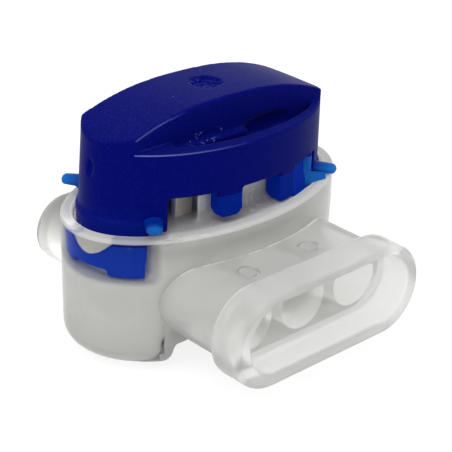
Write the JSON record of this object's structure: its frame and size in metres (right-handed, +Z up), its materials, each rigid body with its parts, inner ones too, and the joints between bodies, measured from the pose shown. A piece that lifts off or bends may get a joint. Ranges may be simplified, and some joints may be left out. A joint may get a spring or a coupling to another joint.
{
  "type": "gel-filled cable connector",
  "caption": "Push-down wire splice: translucent cup with side-by-side wire ports, a raised press cap that carries a slotted contact, and sealing gel inside.",
  "frame": {"origin": "centre of the flat face under the oval cup", "axes": "+X along the row of ports, -Y out of the wire entry, +Z up towards the press cap"},
  "size_m": [0.0238, 0.0231, 0.0188],
  "materials": {
    "milky_plastic": "milky translucent moulding, smooth",
    "blue_plastic": "deep blue, satin",
    "light_blue_plastic": "thin blue plastic that light passes through",
    "tinned_metal": "tin-plated sheet, dull",
    "gel": "soft clear sealing gel"
  },
  "bodies": {
    "cup": {"housing": "milky_plastic", "sealant_gel": "gel"},
    "press_cap": {"cap": "blue_plastic", "contact_element": "tinned_metal", "retaining_pegs": "light_blue_plastic"}
  },
  "joints": [
    {"name": "cap_press", "type": "slide", "parent": "cup", "child": "press_cap", "axis": [0, 0, -1], "range_m": [0, 0.0056], "deforming": ["sealant_gel", "retaining_pegs"]}
  ]
}
